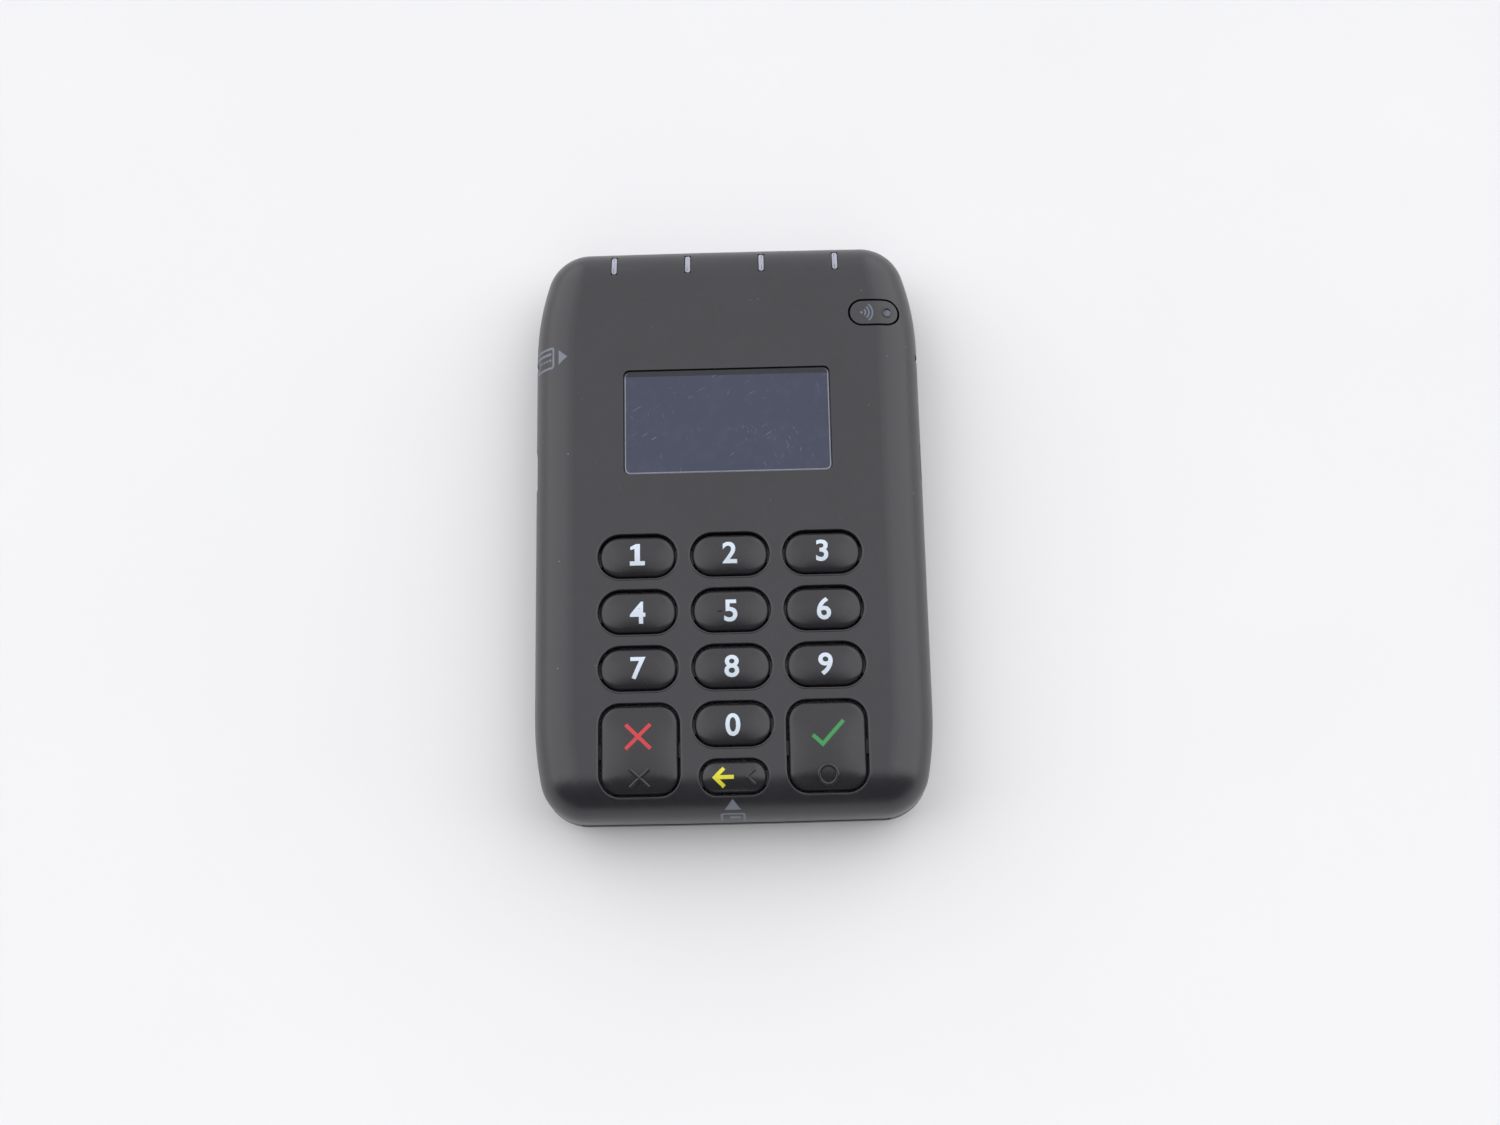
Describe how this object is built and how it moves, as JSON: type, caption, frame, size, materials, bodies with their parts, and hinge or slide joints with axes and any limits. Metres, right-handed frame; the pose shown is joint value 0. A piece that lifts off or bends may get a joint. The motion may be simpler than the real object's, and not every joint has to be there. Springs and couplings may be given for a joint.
{
  "type": "card payment terminal",
  "caption": "Pocket card payment terminal: domed keypad, small display, radio button, indicator lights on the end edge, chip card slot and stripe swipe slot.",
  "frame": {"origin": "middle of the underside, on the plane the feet stand on", "axes": "+X to the right of the face, +Y towards the end with the indicator lights, +Z out of the face"},
  "size_m": [0.071, 0.1076, 0.0185],
  "materials": {
    "casing_plastic": "fine texture",
    "key_rubber": "satin",
    "lens_clear": "clear",
    "display_glass": "gloss",
    "light_pipe": "translucent",
    "silicone": "matte",
    "foot_rubber": "matte",
    "board_laminate": "solder mask",
    "polyimide": "film",
    "connector_plastic": "moulded",
    "steel": "plated",
    "contact_brass": "gold plated",
    "cell_wrap": "foil pouch",
    "label_paper": "printed film, blank"
  },
  "bodies": {
    "casing": {"backup_cell": "steel", "battery": "cell_wrap", "battery_connector": "contact_brass", "board_connector": "connector_plastic", "board_flex": "polyimide", "board_screws": "steel", "buzzer": "connector_plastic", "case_screws": "steel", "chip_card_connector": "connector_plastic", "chip_card_contacts": "contact_brass", "display_flex": "polyimide", "display_frame": "connector_plastic", "display_lens": "lens_clear", "display_module": "display_glass", "front_cover": "casing_plastic", "head_spring": "steel", "indicator_leds": "light_pipe", "key_domes": "steel", "keypad_board": "board_laminate", "keypad_mat": "silicone", "lens_gasket": "foot_rubber", "light_guide_1": "light_pipe", "light_guide_2": "light_pipe", "light_guide_3": "light_pipe", "light_guide_4": "light_pipe", "main_board": "board_laminate", "power_switch": "steel", "radio_module": "steel", "radio_switch": "steel", "rating_label": "label_paper", "rear_cover": "casing_plastic", "rubber_feet": "foot_rubber", "shield_can": "steel", "top_board": "board_laminate", "usb_connector": "steel"},
    "key_0_cap": {"key_0": "key_rubber"},
    "key_1_cap": {"key_1": "key_rubber"},
    "key_2_cap": {"key_2": "key_rubber"},
    "key_3_cap": {"key_3": "key_rubber"},
    "key_4_cap": {"key_4": "key_rubber"},
    "key_5_cap": {"key_5": "key_rubber"},
    "key_6_cap": {"key_6": "key_rubber"},
    "key_7_cap": {"key_7": "key_rubber"},
    "key_8_cap": {"key_8": "key_rubber"},
    "key_9_cap": {"key_9": "key_rubber"},
    "key_clear_cap": {"key_clear": "key_rubber"},
    "key_cancel_cap": {"key_cancel": "key_rubber"},
    "key_enter_cap": {"key_enter": "key_rubber"},
    "radio_button_cap": {"radio_button": "casing_plastic", "button_light_window": "light_pipe"},
    "power_button_cap": {"power_button": "casing_plastic"},
    "stripe_head": {"magnetic_head": "steel"}
  },
  "joints": [
    {"name": "key_0_press", "type": "slide", "parent": "casing", "child": "key_0_cap", "axis": [0, 0, -1], "range_m": [0, 0.0007], "stiffness_N_per_m": 1200, "springref_m": -0.0002, "deforming": ["keypad_mat", "key_domes"]},
    {"name": "key_1_press", "type": "slide", "parent": "casing", "child": "key_1_cap", "axis": [0, 0, -1], "range_m": [0, 0.0007], "stiffness_N_per_m": 1200, "springref_m": -0.0002, "deforming": ["keypad_mat", "key_domes"]},
    {"name": "key_2_press", "type": "slide", "parent": "casing", "child": "key_2_cap", "axis": [0, 0, -1], "range_m": [0, 0.0007], "stiffness_N_per_m": 1200, "springref_m": -0.0002, "deforming": ["keypad_mat", "key_domes"]},
    {"name": "key_3_press", "type": "slide", "parent": "casing", "child": "key_3_cap", "axis": [0, 0, -1], "range_m": [0, 0.0007], "stiffness_N_per_m": 1200, "springref_m": -0.0002, "deforming": ["keypad_mat", "key_domes"]},
    {"name": "key_4_press", "type": "slide", "parent": "casing", "child": "key_4_cap", "axis": [0, 0, -1], "range_m": [0, 0.0007], "stiffness_N_per_m": 1200, "springref_m": -0.0002, "deforming": ["keypad_mat", "key_domes"]},
    {"name": "key_5_press", "type": "slide", "parent": "casing", "child": "key_5_cap", "axis": [0, 0, -1], "range_m": [0, 0.0007], "stiffness_N_per_m": 1200, "springref_m": -0.0002, "deforming": ["keypad_mat", "key_domes"]},
    {"name": "key_6_press", "type": "slide", "parent": "casing", "child": "key_6_cap", "axis": [0, 0, -1], "range_m": [0, 0.0007], "stiffness_N_per_m": 1200, "springref_m": -0.0002, "deforming": ["keypad_mat", "key_domes"]},
    {"name": "key_7_press", "type": "slide", "parent": "casing", "child": "key_7_cap", "axis": [0, 0, -1], "range_m": [0, 0.0007], "stiffness_N_per_m": 1200, "springref_m": -0.0002, "deforming": ["keypad_mat", "key_domes"]},
    {"name": "key_8_press", "type": "slide", "parent": "casing", "child": "key_8_cap", "axis": [0, 0, -1], "range_m": [0, 0.0007], "stiffness_N_per_m": 1200, "springref_m": -0.0002, "deforming": ["keypad_mat", "key_domes"]},
    {"name": "key_9_press", "type": "slide", "parent": "casing", "child": "key_9_cap", "axis": [0, 0, -1], "range_m": [0, 0.0007], "stiffness_N_per_m": 1200, "springref_m": -0.0002, "deforming": ["keypad_mat", "key_domes"]},
    {"name": "key_clear_press", "type": "slide", "parent": "casing", "child": "key_clear_cap", "axis": [0, 0, -1], "range_m": [0, 0.0007], "stiffness_N_per_m": 1200, "springref_m": -0.0002, "deforming": ["keypad_mat", "key_domes"]},
    {"name": "key_cancel_press", "type": "slide", "parent": "casing", "child": "key_cancel_cap", "axis": [0, 0, -1], "range_m": [0, 0.0007], "stiffness_N_per_m": 1200, "springref_m": -0.0002, "deforming": ["keypad_mat", "key_domes"]},
    {"name": "key_enter_press", "type": "slide", "parent": "casing", "child": "key_enter_cap", "axis": [0, 0, -1], "range_m": [0, 0.0007], "stiffness_N_per_m": 1200, "springref_m": -0.0002, "deforming": ["keypad_mat", "key_domes"]},
    {"name": "radio_button_press", "type": "slide", "parent": "casing", "child": "radio_button_cap", "axis": [0, 0, -1], "range_m": [0, 0.0005], "stiffness_N_per_m": 1500, "springref_m": -0.0002},
    {"name": "power_button_press", "type": "slide", "parent": "casing", "child": "power_button_cap", "axis": [-1, 0, 0], "range_m": [0, 0.0004], "stiffness_N_per_m": 1500, "springref_m": -0.0002},
    {"name": "magnetic_head_yield", "type": "slide", "parent": "casing", "child": "stripe_head", "axis": [0, 1, 0], "range_m": [0, 0.0005], "stiffness_N_per_m": 1500, "springref_m": -0.0002, "deforming": ["head_spring"]}
  ]
}
